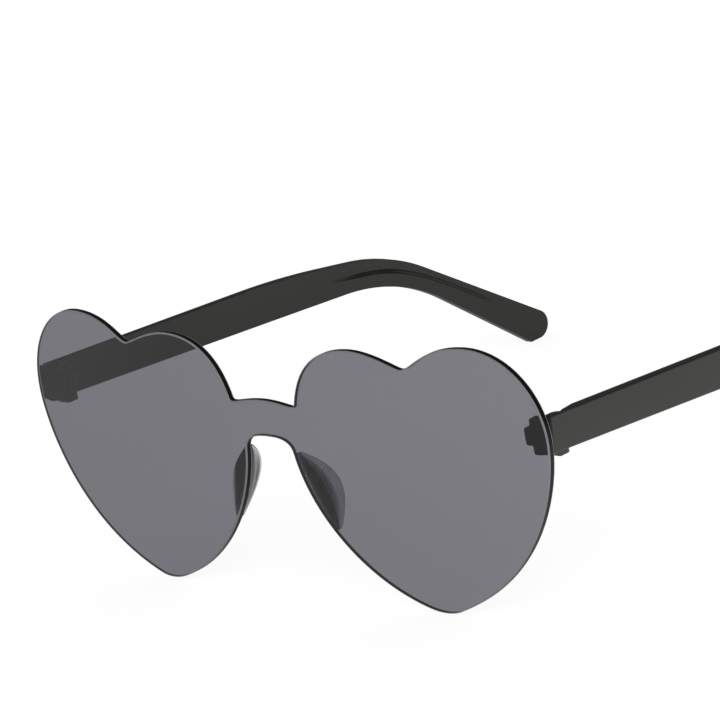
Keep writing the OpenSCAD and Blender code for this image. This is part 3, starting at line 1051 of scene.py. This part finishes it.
# Floor, room and lamps
studio = {
    "floorReach": 4,  # metres from the middle
    "floorTone": (0.44, 0.46),  # how much light the board gives back
    "paper": 2.5,  # size of the floor's faint mottling
    "floorGlow": 0.85,  # what the camera sees of the floor besides the light that falls on it
    "floorMirror": 0.3,  # the same in reflections
    "floorThrow": 0.2,  # extra share of light that the floor throws on to the glasses
    "stripMirror": 1.25,  # a light strip that shows in reflections only
    "stripAt": 0.125,  # metres beside the middle
    "stripReach": 0.085,  # metres over which it fades
    "worldSide": 0.96,  # light from the room's walls
    "worldTop": 0.02,  # light from its ceiling
    "worldMirror": 0.05,  # the room in reflections
    "lamps": {  # places and sizes in metres, power in watts; each looks at the middle of the floor
        "keyLight": {"place": (1.2, -0.9, 0.9), "size": 0.9, "power": 3.2},
        "fillLight": {"place": (-1.4, 0.5, 0.8), "size": 1.0, "power": 0.5},
    },
}


def makeFloor(look):
    # A matt pale board with a white glow for the camera: it stays white, and keeps the object's shadow
    reach = look["floorReach"]
    corners = [(-reach, -reach, 0), (reach, -reach, 0), (reach, reach, 0), (-reach, reach, 0)]
    floor = meshObject("floor", corners, [(0, 1, 2, 3)])
    material, tree, output = newMaterial("paleFloor")
    rays = addNode(tree, "ShaderNodeLightPath").outputs
    place = addNode(tree, "ShaderNodeTexCoord").outputs["Object"]
    paper = addNode(
        tree, "ShaderNodeTexNoise", {"Scale": 1 / (look["paper"] * mm), "Detail": 2}, {"Vector": place}
    )
    low, high = look["floorTone"]
    tone = addNode(
        tree, "ShaderNodeMapRange", {"To Min": low, "To Max": high}, {"Value": paper.outputs["Fac"]}
    )
    seen = addNode(
        tree,
        "ShaderNodeMath",
        {"operation": "MAXIMUM"},
        {0: rays["Is Camera Ray"], 1: rays["Is Transmission Ray"]},
    )
    direct = addNode(
        tree, "ShaderNodeMath", {"operation": "MULTIPLY", 1: look["floorGlow"]}, {0: seen.outputs[0]}
    )
    # In reflections a light strip lies beside the near temple
    parts = addNode(tree, "ShaderNodeSeparateXYZ", links={0: place})
    aside = addNode(
        tree, "ShaderNodeMath", {"operation": "SUBTRACT", 1: look["stripAt"]}, {0: parts.outputs["X"]}
    )
    away = addNode(tree, "ShaderNodeMath", {"operation": "ABSOLUTE"}, {0: aside.outputs[0]})
    strip = addNode(
        tree,
        "ShaderNodeMapRange",
        {"From Max": look["stripReach"], "To Min": look["stripMirror"], "To Max": look["floorMirror"]},
        {"Value": away.outputs[0]},
    )
    mirrored = addNode(
        tree,
        "ShaderNodeMath",
        {"operation": "MULTIPLY"},
        {0: rays["Is Glossy Ray"], 1: strip.outputs["Result"]},
    )
    strength = addNode(
        tree, "ShaderNodeMath", {"operation": "ADD"}, {0: direct.outputs[0], 1: mirrored.outputs[0]}
    )
    glow = addNode(tree, "ShaderNodeEmission", links={"Strength": strength.outputs[0]})
    # The floor throws back more light on to the glasses than it shows, so that white stays white
    thrown = addNode(
        tree,
        "ShaderNodeMath",
        {"operation": "MULTIPLY_ADD", 1: look["floorThrow"], 2: 1},
        {0: rays["Is Diffuse Ray"]},
    )
    pale = addNode(
        tree, "ShaderNodeMath", {"operation": "MULTIPLY"}, {0: tone.outputs["Result"], 1: thrown.outputs[0]}
    )
    matt = addNode(tree, "ShaderNodeBsdfDiffuse", links={"Color": pale.outputs[0]})
    both = addNode(tree, "ShaderNodeAddShader", links={0: glow.outputs[0], 1: matt.outputs[0]})
    tree.links.new(both.outputs[0], output.inputs["Surface"])
    floor.data.materials.append(material)


def makeWorld(look):
    # White where it is seen; its light comes from the sides, and little of it shows in reflections
    world = bpy.data.worlds.new("studio")
    world.use_nodes = True
    bpy.context.scene.world = world
    tree = world.node_tree
    tree.nodes.clear()
    output = addNode(tree, "ShaderNodeOutputWorld")
    rays = addNode(tree, "ShaderNodeLightPath").outputs
    seen = addNode(
        tree,
        "ShaderNodeMath",
        {"operation": "MAXIMUM"},
        {0: rays["Is Camera Ray"], 1: rays["Is Transmission Ray"]},
    )
    place = addNode(tree, "ShaderNodeTexCoord")
    parts = addNode(tree, "ShaderNodeSeparateXYZ", links={0: place.outputs["Generated"]})
    level = addNode(
        tree,
        "ShaderNodeMapRange",
        {"To Min": look["worldSide"], "To Max": look["worldTop"]},
        {"Value": parts.outputs["Z"]},
    )
    light = addNode(
        tree,
        "ShaderNodeMapRange",
        {"To Max": look["worldMirror"]},
        {"Value": rays["Is Glossy Ray"], "To Min": level.outputs["Result"]},
    )
    white = (1, 1, 1, 1)
    room = addNode(tree, "ShaderNodeBackground", {"Color": white}, {"Strength": light.outputs["Result"]})
    backdrop = addNode(tree, "ShaderNodeBackground", {"Color": white, "Strength": 1})
    mixed = addNode(
        tree, "ShaderNodeMixShader", links={0: seen.outputs[0], 1: room.outputs[0], 2: backdrop.outputs[0]}
    )
    tree.links.new(mixed.outputs[0], output.inputs["Surface"])


def addLamp(name, lamp):
    data = bpy.data.lights.new(name, "AREA")
    data.shape, data.size, data.energy = "SQUARE", lamp["size"], lamp["power"]
    light = bpy.data.objects.new(name, data)
    light.location = lamp["place"]
    light.rotation_euler = (-Vector(lamp["place"])).to_track_quat("-Z", "Y").to_euler()
    bpy.context.scene.collection.objects.link(light)


makeFloor(studio)
makeWorld(studio)
for name, lamp in studio["lamps"].items():
    addLamp(name, lamp)
bpy.context.scene.view_settings.view_transform = "Standard"
print("floor and lights made")
